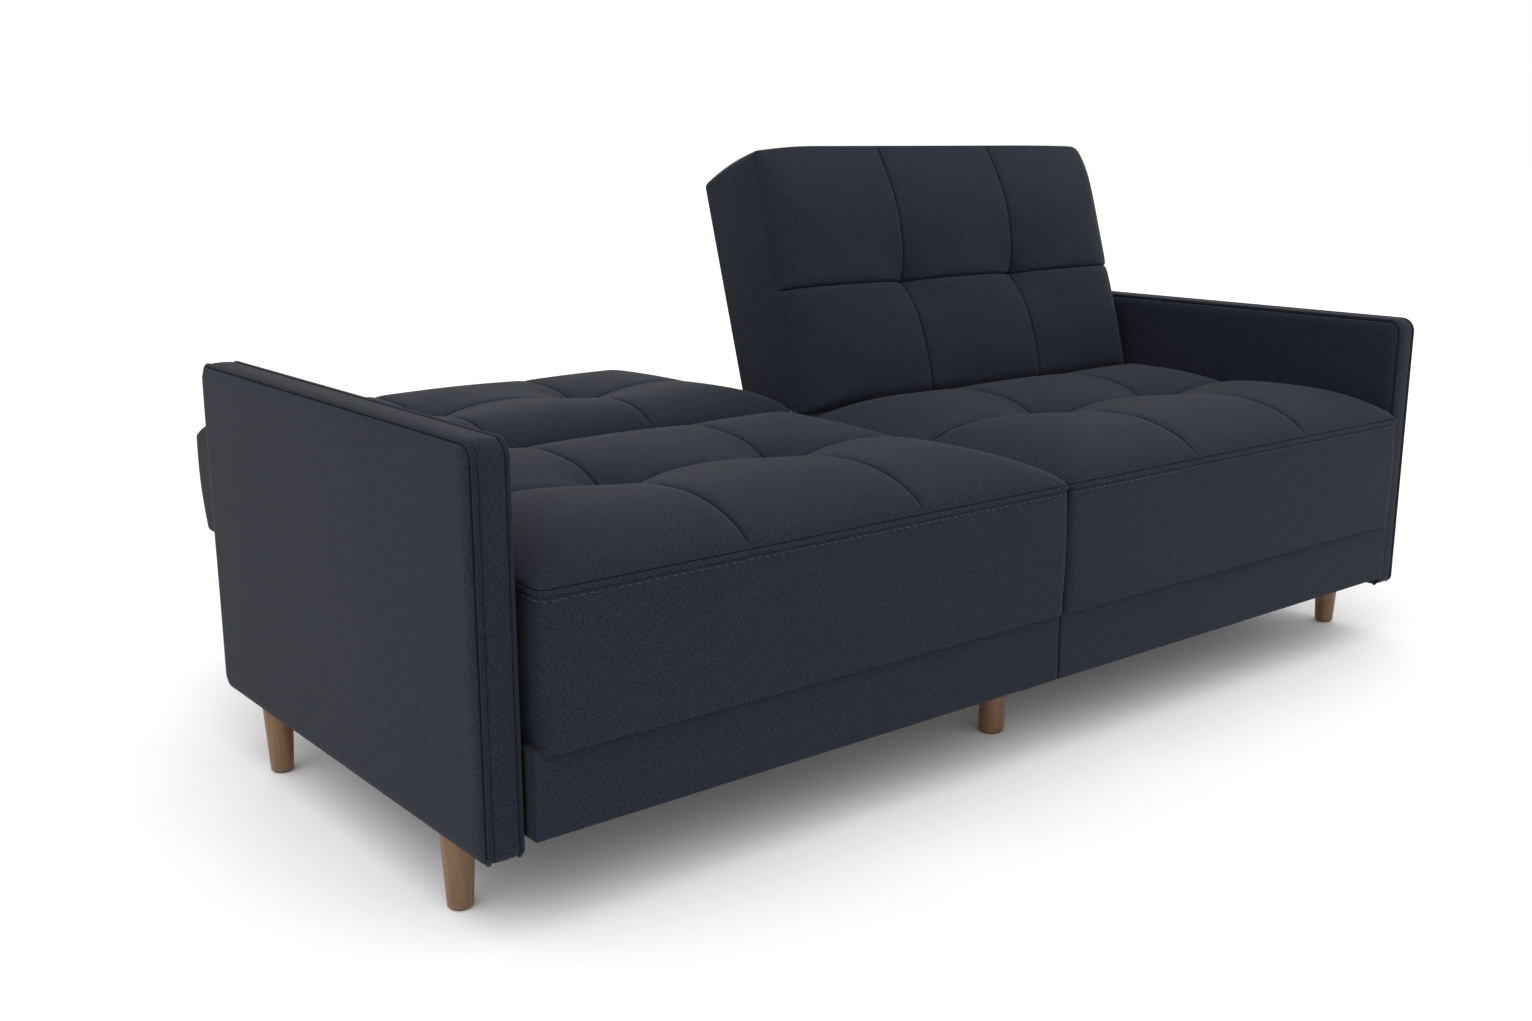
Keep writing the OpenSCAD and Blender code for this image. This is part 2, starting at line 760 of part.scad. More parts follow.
back_at(upright_angle) back_hinge_bolts();  // right_back_hinge_bolts
on_left() hinge_pawls();  // left_hinge_pawls
hinge_pawls();  // right_hinge_pawls
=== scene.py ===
"""Looks of the futon sofa bed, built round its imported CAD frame. Metres, +X right, -Y front, +Z up."""
import json
import math

import bmesh
import bpy
import numpy as np
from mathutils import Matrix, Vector


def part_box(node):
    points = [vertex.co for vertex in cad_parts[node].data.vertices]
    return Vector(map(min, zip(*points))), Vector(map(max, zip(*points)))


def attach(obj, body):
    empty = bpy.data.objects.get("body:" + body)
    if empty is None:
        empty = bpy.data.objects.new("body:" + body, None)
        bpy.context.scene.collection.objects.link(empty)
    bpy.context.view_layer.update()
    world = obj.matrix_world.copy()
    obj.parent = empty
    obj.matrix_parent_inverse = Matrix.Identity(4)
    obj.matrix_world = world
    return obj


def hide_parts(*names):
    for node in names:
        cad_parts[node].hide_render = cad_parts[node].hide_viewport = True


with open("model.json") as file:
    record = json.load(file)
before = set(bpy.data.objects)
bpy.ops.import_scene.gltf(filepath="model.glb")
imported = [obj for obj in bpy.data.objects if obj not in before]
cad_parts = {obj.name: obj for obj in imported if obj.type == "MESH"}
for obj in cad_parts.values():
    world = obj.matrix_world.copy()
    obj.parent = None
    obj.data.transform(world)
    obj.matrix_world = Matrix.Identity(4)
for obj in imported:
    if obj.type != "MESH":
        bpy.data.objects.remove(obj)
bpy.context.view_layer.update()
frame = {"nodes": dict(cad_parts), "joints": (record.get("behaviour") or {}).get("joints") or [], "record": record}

# ---------------------------------------------------------------- places read from the frame

JOINTS = {j["name"]: j for j in frame["joints"]}
PIVOT = Vector(JOINTS["right_back_fold"]["pos_m"])
FOLD = -math.radians(JOINTS["right_back_fold"]["range_deg"][0])     # flat to upright

SEAT_LOW, SEAT_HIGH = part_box("right_seat_cushion")
FLAT_LOW, FLAT_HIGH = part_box("left_back_cushion")
PANEL_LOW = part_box("left_back_panel")[0]
ARM_LOW, ARM_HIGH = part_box("right_arm_border")
PIPE_LOW, PIPE_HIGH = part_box("right_arm_piping")
INNER_LOW, INNER_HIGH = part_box("right_arm_inner_pad")
OUTER_LOW, OUTER_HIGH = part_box("right_arm_outer_pad")
APRON_LOW, APRON_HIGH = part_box("right_apron")
RAIL_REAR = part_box("right_seat_front_rail")[1].y
DUST_LOW, DUST_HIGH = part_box("right_dust_cover")

# ---------------------------------------------------------------- upholstery sizes

SEAT_EDGE_Z = 0.426          # height of the seam round the top of a seat
SEAT_CROWN = 0.053           # rise of a seat's top above that seam
SEAT_CORNER = 0.013
BACK_FACE = 0.012            # height of a flat back's near edge above the pivot
BACK_CORNERS = (0.012, 0.012, 0.020, 0.0095)    # inner near, outer near, outer far, inner far
TOP_BOW = 0.009              # how far the far edge of a back stands out between its corners
CORNER_FALL = 0.012          # how far the upright back's outer top corner has sunk
BACK_ROLL = 0.012            # radius of the soft edge round a back's face
BACK_EDGE_FALL = 0.010       # the back's edge seam lies this much lower at its far end
REAR_SWELL = 0.004           # how far a back's rear face stands proud of its boards
REAR_ROLL = 0.010            # radius of the edge round a back's rear face
TOP_SWELL = 0.003            # bulge of a back's far side, half way down it
SIDE_SWELL = 0.0022          # bulge of the sides of seats and backs
FACE_STEP = 0.0085           # spacing of a tufted face's grid away from its seams
SEAM_DIP, SEAM_SPREAD = 0.0026, 0.009       # depth and width of the soft valley along a sewn line
STITCH_DIP, STITCH_WIDTH = 0.0090, 0.0015   # and of the sharp crease in it
SEAM_FADE = 0.012                           # both fade out this close to the edge
TROUGH_WIDTH, TROUGH_START = 0.05, 0.16     # width of the sag along the cross seam, and how far in it is full
PUFF_SINK, PUFF_EDGE = 0.0015, 0.08         # how far simulated cloth may sink, and how far in it acts in full
STUFFING_PRESSURE = 2.2                     # in the cloth simulation
PIPING_R = 0.0032
ARM_SWELL = 0.003            # how far an arm's inner padding stands proud of its plain shape
ARM_CORNER = 0.024
ARM_TOE = 0.012


# ---------------------------------------------------------------- materials

def new_material(name):
    mat = bpy.data.materials.new(name)
    mat.use_nodes = True
    tree = mat.node_tree
    shader = tree.nodes["Principled BSDF"]
    return mat, tree, shader


def math_node(tree, kind, a, b=None):
    node = tree.nodes.new("ShaderNodeMath")
    node.operation = kind
    for slot, value in enumerate((a, b)):
        if isinstance(value, (int, float)):
            node.inputs[slot].default_value = value
        elif value is not None:
            tree.links.new(value, node.inputs[slot])
    return node.outputs[0]


def scaled(tree, vector, size):
    node = tree.nodes.new("ShaderNodeMapping")
    node.inputs["Scale"].default_value = size
    tree.links.new(vector, node.inputs["Vector"])
    return node.outputs["Vector"]


def noise(tree, vector, size, detail=2.0, rough=0.5):
    node = tree.nodes.new("ShaderNodeTexNoise")
    node.inputs["Scale"].default_value = 1.0
    node.inputs["Detail"].default_value = detail
    node.inputs["Roughness"].default_value = rough
    tree.links.new(scaled(tree, vector, size), node.inputs["Vector"])
    return node.outputs["Fac"]


def ramp(tree, value, stops):
    node = tree.nodes.new("ShaderNodeValToRGB")
    while len(node.color_ramp.elements) < len(stops):
        node.color_ramp.elements.new(0.5)
    for element, (place, colour) in zip(node.color_ramp.elements, stops):
        element.position = place
        element.color = (*colour, 1.0)
    tree.links.new(value, node.inputs["Fac"])
    return node.outputs["Color"]


def bump(tree, shader, height, distance, strength=1.0):
    node = tree.nodes.new("ShaderNodeBump")
    node.inputs["Distance"].default_value = distance
    node.inputs["Strength"].default_value = strength
    tree.links.new(height, node.inputs["Height"])
    tree.links.new(node.outputs["Normal"], shader.inputs["Normal"])


def linen(name, dark, light, pitch=0.0021, depth=0.00028):
    """Slubby plain-weave upholstery linen, laid along the UV map in metres."""
    mat, tree, shader = new_material(name)
    uv = tree.nodes.new("ShaderNodeUVMap")
    uv.uv_map = "weave"
    split = tree.nodes.new("ShaderNodeSeparateXYZ")
    tree.links.new(uv.outputs["UV"], split.inputs["Vector"])
    u, v = split.outputs["X"], split.outputs["Y"]
    waver = noise(tree, uv.outputs["UV"], (60, 60, 1), 2)
    u_bent = math_node(tree, "ADD", u, math_node(tree, "MULTIPLY", waver, 0.002))
    v_bent = math_node(tree, "ADD", v, math_node(tree, "MULTIPLY", waver, 0.002))
    warp = math_node(tree, "SINE", math_node(tree, "MULTIPLY", u_bent, 2 * math.pi / pitch))
    weft = math_node(tree, "SINE", math_node(tree, "MULTIPLY", v_bent, 2 * math.pi / pitch))
    over = math_node(tree, "MULTIPLY", warp, weft)
    slub_weft = noise(tree, uv.outputs["UV"], (210, 900, 1), 2, 0.5)
    slub_warp = noise(tree, uv.outputs["UV"], (900, 210, 1), 2, 0.5)
    slub = math_node(tree, "ADD", math_node(tree, "MULTIPLY", slub_weft, 0.55),
                     math_node(tree, "MULTIPLY", slub_warp, 0.45))
    blotch = noise(tree, uv.outputs["UV"], (7, 7, 1), 3, 0.6)
    fine = math_node(tree, "MULTIPLY", over, 0.03)
    tone = math_node(tree, "ADD", math_node(tree, "ADD", slub, fine),
                     math_node(tree, "MULTIPLY", math_node(tree, "SUBTRACT", blotch, 0.5), 0.03))
    colour = ramp(tree, tone, [(0.35, dark), (0.65, light)])
    tree.links.new(colour, shader.inputs["Base Color"])
    rough = math_node(tree, "ADD", math_node(tree, "MULTIPLY", slub, 0.16), 0.78)
    tree.links.new(rough, shader.inputs["Roughness"])
    shader.inputs["Specular IOR Level"].default_value = 0.16
    shader.inputs["Sheen Weight"].default_value = 0.048
    shader.inputs["Sheen Roughness"].default_value = 0.45
    shader.inputs["Sheen Tint"].default_value = (0.78, 0.84, 0.76, 1)
    height = math_node(tree, "ADD", math_node(tree, "MULTIPLY", over, 0.35), slub)
    bump(tree, shader, height, depth)
    return mat


def plain_cloth(name, dark, light, grain, depth=0.0003, rough=0.9):
    """Cloth with no visible weave, such as nonwoven lining or thread."""
    mat, tree, shader = new_material(name)
    coord = tree.nodes.new("ShaderNodeTexCoord")
    spots = noise(tree, coord.outputs["Object"], (grain,) * 3, 4, 0.6)
    tree.links.new(ramp(tree, spots, [(0.3, dark), (0.7, light)]), shader.inputs["Base Color"])
    shader.inputs["Roughness"].default_value = rough
    shader.inputs["Sheen Weight"].default_value = 0.2
    bump(tree, shader, spots, depth)
    return mat


def wood(name, dark, middle, light, along, rings, rough, coat=0.0):
    """Wood whose grain runs along one axis.
    along is the noise scale on each axis, smallest along the grain."""
    mat, tree, shader = new_material(name)
    coord = tree.nodes.new("ShaderNodeTexCoord")
    broad = noise(tree, coord.outputs["Object"], along, 3, 0.55)
    lines = math_node(tree, "FRACT", math_node(tree, "MULTIPLY", broad, rings))
    edges = math_node(tree, "PINGPONG", lines, 0.5)
    pores = noise(tree, coord.outputs["Object"], tuple(9 * a for a in along), 4, 0.7)
    tone = math_node(tree, "ADD", math_node(tree, "MULTIPLY", edges, 0.7),
                     math_node(tree, "MULTIPLY", pores, 0.65))
    colour = ramp(tree, tone, [(0.22, dark), (0.5, middle), (0.78, light)])
    tree.links.new(colour, shader.inputs["Base Color"])
    tree.links.new(math_node(tree, "ADD", math_node(tree, "MULTIPLY", pores, 0.2), rough - 0.1),
                   shader.inputs["Roughness"])
    shader.inputs["Coat Weight"].default_value = coat
    shader.inputs["Coat Roughness"].default_value = 0.35
    bump(tree, shader, pores, 0.00025, 0.5)
    return mat


def metal(name, dark, light, rough):
    """Zinc-plated or painted pressed steel with faint drawing marks and worn patches."""
    mat, tree, shader = new_material(name)
    coord = tree.nodes.new("ShaderNodeTexCoord")
    marks = noise(tree, coord.outputs["Object"], (900, 120, 120), 3, 0.6)
    wear = noise(tree, coord.outputs["Object"], (30, 30, 30), 5, 0.65)
    tone = math_node(tree, "ADD", math_node(tree, "MULTIPLY", marks, 0.35),
                     math_node(tree, "MULTIPLY", wear, 0.65))
    tree.links.new(ramp(tree, tone, [(0.3, dark), (0.7, light)]), shader.inputs["Base Color"])
    tree.links.new(math_node(tree, "ADD", math_node(tree, "MULTIPLY", wear, 0.3), rough - 0.15),
                   shader.inputs["Roughness"])
    shader.inputs["Metallic"].default_value = 0.85
    bump(tree, shader, marks, 0.0001, 0.4)
    return mat


def plastic(name, dark, light):
    mat, tree, shader = new_material(name)
    coord = tree.nodes.new("ShaderNodeTexCoord")
    grain = noise(tree, coord.outputs["Object"], (1500,) * 3, 2)
    tree.links.new(ramp(tree, grain, [(0.3, dark), (0.7, light)]), shader.inputs["Base Color"])
    shader.inputs["Roughness"].default_value = 0.55
    bump(tree, shader, grain, 0.0001, 0.6)
    return mat


LINEN = linen("navy_linen", (0.0019, 0.0026, 0.0060), (0.0195, 0.0232, 0.0375))
WELT = linen("navy_linen_welt", (0.0030, 0.0038, 0.0075), (0.0150, 0.0180, 0.0290))
THREAD = plain_cloth("stitch_thread", (0.018, 0.021, 0.031), (0.034, 0.039, 0.054), 900)
LINING = plain_cloth("nonwoven_lining", (0.010, 0.010, 0.011), (0.028, 0.028, 0.030), 700)
COIL_CLOTH = plain_cloth("coil_pocket_cloth", (0.55, 0.53, 0.48), (0.75, 0.73, 0.68), 260)
WALNUT = wood("walnut_leg", (0.112, 0.054, 0.020), (0.146, 0.074, 0.028), (0.180, 0.096, 0.038),
              (40, 40, 2.5), 5, 0.46, 0.15)
TIMBER = wood("pine_rail", (0.36, 0.22, 0.10), (0.50, 0.34, 0.17), (0.62, 0.46, 0.27), (6, 60, 60), 6, 0.65)
STEEL = metal("hinge_steel", (0.10, 0.10, 0.105), (0.24, 0.24, 0.25), 0.42)
NYLON = plastic("glide_nylon", (0.012, 0.012, 0.013), (0.030, 0.030, 0.032))
BY_SLOT = {"linen": LINEN, "dark_fabric": LINING, "coil_cloth": COIL_CLOTH, "timber": TIMBER,
           "walnut": WALNUT, "steel": STEEL, "nylon": NYLON}


# ---------------------------------------------------------------- mesh helpers

class Sheets:
    """Collects grids and loops of points with their weave coordinates,
    and turns them into one welded mesh."""

    def __init__(self):
        self.points, self.faces, self.uvs = [], [], []

    def grid(self, points, uv):
        """points and uv are arrays of rows and columns."""
        rows, columns = points.shape[:2]
        base = len(self.points)
        self.points.extend(points.reshape(-1, 3).tolist())
        flat = uv.reshape(-1, 2).tolist()
        for i in range(rows - 1):
            for j in range(columns - 1):
                a = i * columns + j
                corners = (a, a + columns, a + columns + 1, a + 1)
                self.faces.append([base + c for c in corners])
                self.uvs.append([flat[c] for c in corners])

    def cap(self, points, uv):
        base = len(self.points)
        self.points.extend(points.tolist())
        self.faces.append(list(range(base, base + len(points))))
        self.uvs.append(uv.tolist())

    def build(self, name, material, weld=1e-5):
        mesh = bpy.data.meshes.new(name)
        mesh.from_pydata(self.points, [], self.faces)
        layer = mesh.uv_layers.new(name="weave")
        layer.data.foreach_set("uv", np.array([c for face in self.uvs for c in face], np.float32).ravel())
        work = bmesh.new()
        work.from_mesh(mesh)
        bmesh.ops.remove_doubles(work, verts=work.verts, dist=weld)
        bmesh.ops.dissolve_degenerate(work, edges=work.edges, dist=1e-7)
        bmesh.ops.recalc_face_normals(work, faces=work.faces)
        work.to_mesh(mesh)
        work.free()
        mesh.polygons.foreach_set("use_smooth", [True] * len(mesh.polygons))
        mesh.materials.append(material)
        piece = bpy.data.objects.new(name, mesh)
        bpy.context.scene.collection.objects.link(piece)
        return piece


def ruled_lines(low, high, step, fine_at=(), edge=(0.0, 0.0014, 0.0032, 0.006, 0.010, 0.015, 0.021)):
    """Grid lines from low to high: close together at both ends and at the places in fine_at,
    and step apart between."""
    near = (0.0, 0.0007, 0.0014, 0.0023, 0.0040, 0.0070, 0.012)
    fixed = [low + e for e in edge] + [high - e for e in edge]
    fixed += [place + side * e for place in fine_at for side in (-1, 1) for e in near]
    fixed = sorted(set(round(x, 6) for x in fixed))
    lines = []
    for a, b in zip(fixed, fixed[1:]):
        parts = max(1, round((b - a) / step))
        lines += [a + (b - a) * k / parts for k in range(parts)]
    return np.array(lines + [fixed[-1]])


def rounded(a, b, rect, radii):
    """Draws the corners of a rectangular grid in to arcs. radii go round from the corner of low a and
    low b, by the one of high a and low b."""
    a0, a1, b0, b1 = rect
    a, b = a.copy(), b.copy()
    for (ca, sa), (cb, sb), r in zip(((a0, 1), (a1, -1), (a1, -1), (a0, 1)),
                                     ((b0, 1), (b0, 1), (b1, -1), (b1, -1)), radii):
        da = r - (a - ca) * sa
        db = r - (b - cb) * sb
        inside = (da > 0) & (db > 0)
        far = np.maximum(da, db)
        shrink = np.where(inside, far / np.maximum(np.hypot(da, db), 1e-9), 1)
        a = np.where(inside, ca + sa * (r - da * shrink), a)
        b = np.where(inside, cb + sb * (r - db * shrink), b)
    return a, b


def border(grid):
    """The outer ring of a grid, in order, without its repeated first point."""
    return np.concatenate([grid[:-1, 0], grid[-1, :-1], grid[:0:-1, -1], grid[0, :0:-1]])


def outward(a, b):
    """Unit vectors that point out of a closed counter-clockwise ring."""
    ta = np.roll(a, -1) - np.roll(a, 1)
    tb = np.roll(b, -1) - np.roll(b, 1)
    size = np.maximum(np.hypot(ta, tb), 1e-9)
    return tb / size, -ta / size


def ring_length(a, b):
    steps = np.hypot(np.diff(a, append=a[0]), np.diff(b, append=b[0]))
    return np.concatenate([[0], np.cumsum(steps)])


def closed(ring):
    return np.concatenate([ring, ring[:1]])


def laid(points):
    """Weave coordinates of a grid of points: lengths along its rows and columns, from its middle."""
    lengths = []
    for axis in (0, 1):
        steps = np.linalg.norm(np.diff(points, axis=axis), axis=-1)
        start = np.zeros_like(np.take(steps, [0], axis=axis))
        run = np.cumsum(np.concatenate([start, steps], axis=axis), axis=axis)
        lengths.append(run - np.take(run, [run.shape[axis] // 2], axis=axis))
    return np.stack(lengths, -1)


def pad(sheets, lines_a, lines_b, radii, height, rows, place):
    """A closed pad: a rectangular face with rounded corners, and sides that run down from its edge.
    height(a, b) is the face's rise above its edge. rows are (depth, outward) steps down the side.
    place(a, b, h) puts a point of the pad into the row frame. The foot of the sides is level."""
    rect = lines_a[0], lines_a[-1], lines_b[0], lines_b[-1]
    grid_a, grid_b = np.meshgrid(lines_a, lines_b, indexing="ij")
    face_a, face_b = rounded(grid_a, grid_b, rect, radii)
    rise = height(grid_a, grid_b)
    face = place(face_a, face_b, rise)
    sheets.grid(face, laid(face))
    ring_a, ring_b = border(face_a), border(face_b)
    out_a, out_b = outward(ring_a, ring_b)
    ring_rise = border(rise)
    length = ring_length(ring_a, ring_b)
    layers, weave = [], []
    mean = ring_rise.mean()
    for depth, out in rows:
        a, b = ring_a + out_a * out, ring_b + out_b * out
        left = 1 - depth / rows[-1][0]
        layers.append(place(closed(a), closed(b), mean + (closed(ring_rise) - mean) * left - depth))
        weave.append(np.stack([length, np.full(len(length), -depth)], -1))
    sheets.grid(np.array(layers), np.array(weave))
    sheets.cap(layers[-1][:-1], np.stack([a, b], -1))


def tube(sheets, path, radius, sides):
    """A round tube along a path of points, with domed ends."""
    path = np.array(path, float)
    forward = np.gradient(path, axis=0)
    forward /= np.linalg.norm(forward, axis=1)[:, None]
    across = np.cross(forward[0], (0.3, 0.5, 0.8))
    rings = []
    for f in forward:
        across = across - f * (across @ f)
        across /= np.linalg.norm(across)
        rings.append((across, np.cross(f, across)))
    turn = np.linspace(0, 2 * math.pi, sides + 1)
    points = np.array([p + radius * (np.cos(turn)[:, None] * u + np.sin(turn)[:, None] * w)
                       for p, (u, w) in zip(path, rings)])
    length = np.concatenate([[0], np.cumsum(np.linalg.norm(np.diff(path, axis=0), axis=1))])
    uv = np.stack(np.meshgrid(length, turn * radius, indexing="ij"), -1)
    sheets.grid(points, uv)
    for k in (0, -1):
        tip = path[k] + forward[k] * radius * (-0.5 if k == 0 else 0.5)
        half = (points[k, :-1] + tip) / 2 + (points[k, :-1] - path[k]) * 0.22
        sheets.grid(np.stack([points[k], closed(half)]), np.zeros((2, sides + 1, 2)) + uv[k][None])
        sheets.cap(half, uv[k][:-1])


def lathe(name, centre, profile, material, sides=48):
    """Turned piece: profile is (radius, height) from the bottom up."""
    sheets = Sheets()
    turn = np.linspace(0, 2 * math.pi, sides + 1)
    radius = np.array([p[0] for p in profile])
    height = np.array([p[1] for p in profile])
    points = np.stack([centre[0] + radius[:, None] * np.cos(turn), centre[1] + radius[:, None] * np.sin(turn),
                       np.repeat(height[:, None], sides + 1, 1)], -1)
    uv = np.stack([np.repeat(turn[None] * radius.max(), len(profile), 0),
                   np.repeat(height[:, None], sides + 1, 1)], -1)
    sheets.grid(points, uv)
    for k in (0, -1):
        sheets.cap(points[k, :-1], uv[k, :-1])
    return sheets.build(name, material)


def quarter(distance, radius):
    """Quarter-round rise from 0 at an edge to 1 at radius."""
    q = 1 - np.clip(distance / radius, 0, 1)
    return np.sqrt(np.maximum(1 - q * q, 0))


def valley(distance, width):
    return np.exp(-(distance / width) ** 2)


def rise_from(distance, reach):
    """Sine rise from 0 at an edge to 1 at reach."""
    return np.sin(math.pi / 2 * np.clip(distance / reach, 0, 1))


def eased(share):
    """A smooth step from 0 to 1."""
    t = np.clip(share, 0, 1)
    return t * t * (3 - 2 * t)


# ---------------------------------------------------------------- tufted faces

class Tufted:
    """Rise of a tufted face above its edge seam, three panels wide and two deep.
    shoulders gives, for low a, high a, low b and high b, how far in the edge's fall reaches and how round
    it is, from 0 for an even slope to 1 for an ellipse. roll is how far outside the edge that ellipse
    starts. trough is the depth of the sag along the cross seam, which fades out towards low a."""

    def __init__(self, rect, crown, shoulders, seam_b, trough, tuft_depth, reach, pillow,
                 settle=0.0, roll=0.0):
        a0, a1 = rect[:2]
        self.rect, self.crown, self.shoulders = rect, crown, shoulders
        self.seam_a = [a0 + (a1 - a0) / 3, a0 + (a1 - a0) * 2 / 3]
        self.seam_b, self.trough = seam_b, trough
        self.tuft_depth, self.reach = tuft_depth, reach
        self.tufts = [(a, seam_b) for a in self.seam_a]
        self.pillow, self.settle, self.roll = pillow, settle, roll
        self.puff = None

    def edge_rise(self, a, b):
        a0, a1, b0, b1 = self.rect
        short = 0
        for distance, (reach, roundness) in zip((a - a0, a1 - a, b - b0, b1 - b), self.shoulders):
            slope = rise_from(distance, reach)
            start = quarter(self.roll, reach)
            curve = (quarter(distance + self.roll, reach) - start) / (1 - start)
            rise = roundness * curve + (1 - roundness) * slope
            short = short + (1 - rise) ** 4
        return np.clip(1 - short ** 0.25, 0, 1)

    def smooth(self, a, b):
        """The face without its sewn lines."""
        a0, a1, b0, b1 = self.rect
        share_a = (a - a0) / (a1 - a0) * 3 % 1
        share_b = np.where(b < self.seam_b, (b - b0) / (self.seam_b - b0),
                           (b - self.seam_b) / (b1 - self.seam_b))
        swell = np.abs(np.sin(math.pi * share_a) * np.sin(math.pi * np.clip(share_b, 0, 1)))
        height = self.crown + self.pillow * (swell + 1e-9) ** 0.7
        trough = self.trough * eased((a - a0) / TROUGH_START)
        height = height - trough * np.exp(-np.abs((b - self.seam_b) / TROUGH_WIDTH) ** 1.3)
        height = height + self.settle * eased((0.70 - (b - b0) / (b1 - b0)) / 0.50)
        for ta, tb in self.tufts:
            r = np.sqrt((a - ta) ** 2 + (b - tb) ** 2 + 0.006 ** 2)
            height = height - self.tuft_depth * np.exp(-r / self.reach)
        return height * self.edge_rise(a, b)

    def __call__(self, a, b):
        a0, a1, b0, b1 = self.rect
        margin = np.minimum.reduce([a - a0, a1 - a, b - b0, b1 - b])
        fade = np.clip(margin / SEAM_FADE, 0, 1)
        height = self.smooth(a, b)
        if self.puff is not None:
            height = height + np.maximum(self.puff(a, b), -PUFF_SINK) * np.clip(margin / PUFF_EDGE, 0, 1)
        for distance in [a - s for s in self.seam_a] + [b - self.seam_b]:
            dip = SEAM_DIP * valley(distance, SEAM_SPREAD) + STITCH_DIP * valley(distance, STITCH_WIDTH)
            height = height - dip * fade
        return height


def spread(grid, lines_a, lines_b):
    """A function that reads a coarse grid smoothly at any place."""
    def along(values, lines, places):
        """Catmull-Rom interpolation along the first axis."""
        k = np.clip(np.searchsorted(lines, places) - 1, 0, len(lines) - 2)
        t = np.clip((places - lines[k]) / (lines[k + 1] - lines[k]), 0, 1)[:, None]
        p0, p1 = values[np.maximum(k - 1, 0)], values[k]
        p2, p3 = values[k + 1], values[np.minimum(k + 2, len(lines) - 1)]
        return 0.5 * (2 * p1 + (p2 - p0) * t + (2 * p0 - 5 * p1 + 4 * p2 - p3) * t ** 2
                      + (3 * p1 - p0 - 3 * p2 + p3) * t ** 3)

    def read(a, b):
        rows = along(grid, lines_a, a[:, 0])
        return along(rows.T, lines_b, b[0]).T
    return read


def inflate(face, thickness, pressure, cap, step=0.010, frames=20):
    """Cloth simulation of a tufted cover over its stuffing. The cover is held at its edge seam, tufts and
    sides, and its panels swell between the sewn lines. Returns a function that gives how far the face
    rises at any place."""
    a0, a1, b0, b1 = face.rect
    lines_a = np.linspace(a0, a1, round((a1 - a0) / step) + 1)
    lines_b = np.linspace(b0, b1, round((b1 - b0) / step) + 1)
    grid_a, grid_b = np.meshgrid(lines_a, lines_b, indexing="ij")
    start = face.smooth(grid_a, grid_b)
    sheets = Sheets()
    top = np.stack([grid_a, grid_b, start], -1)
    sheets.grid(top, top[..., :2])
    ring = border(top)
    below = ring.copy()
    below[:, 2] = -thickness
    sheets.grid(np.stack([closed(ring), closed((ring + below) / 2), closed(below)]),
                np.zeros((3, len(ring) + 1, 2)))
    sheets.cap(below, below[:, :2])
    body = sheets.build("cloth_work", LINEN, weld=1e-6)
    mesh = body.data
    co = np.zeros(len(mesh.vertices) * 3)
    mesh.vertices.foreach_get("co", co)
    co = co.reshape(-1, 3)
    on_face = np.array([np.argmin(np.abs(co - p).sum(1)) for p in top.reshape(-1, 3)])
    pins = body.vertex_groups.new(name="sewn")
    weight = np.ones(len(co))
    flat_a, flat_b = grid_a.ravel(), grid_b.ravel()
    edge = np.minimum.reduce([flat_a - a0, a1 - flat_a, flat_b - b0, b1 - flat_b])
    tuft = np.min([np.hypot(flat_a - ta, flat_b - tb) for ta, tb in face.tufts], axis=0)
    seam = np.min([np.abs(flat_a - s) for s in face.seam_a] + [np.abs(flat_b - face.seam_b)], axis=0)
    held = np.maximum.reduce([edge < step / 2, np.clip(1.6 - tuft / 0.022, 0, 1),
                              0.42 * (seam < 0.7 * step)])
    weight[on_face] = held
    for k, w in enumerate(weight):
        if w > 0:
            pins.add([k], float(w), "REPLACE")
    cloth = body.modifiers.new("cloth", "CLOTH")
    settings = cloth.settings
    settings.quality = 6
    settings.mass = 0.35
    settings.tension_stiffness = settings.compression_stiffness = 22
    settings.shear_stiffness = 9
    settings.bending_stiffness = 1.2
    settings.air_damping = 3
    settings.vertex_group_mass = pins.name
    settings.pin_stiffness = 1.4
    settings.use_pressure = True
    settings.uniform_pressure_force = pressure
    settings.effector_weights.gravity = 0
    cloth.collision_settings.use_self_collision = False
    cloth.point_cache.frame_start, cloth.point_cache.frame_end = 1, frames
    scene = bpy.context.scene
    for f in range(1, frames + 1):
        scene.frame_set(f)
    done = body.evaluated_get(bpy.context.evaluated_depsgraph_get())
    moved = np.zeros(len(co) * 3)
    done.data.vertices.foreach_get("co", moved)
    moved = moved.reshape(-1, 3)[on_face, 2].reshape(start.shape) - start
    scene.frame_set(1)
    bpy.data.objects.remove(body)
    return spread(np.clip(moved, -cap / 2, cap), lines_a, lines_b)


# ---------------------------------------------------------------- stitches

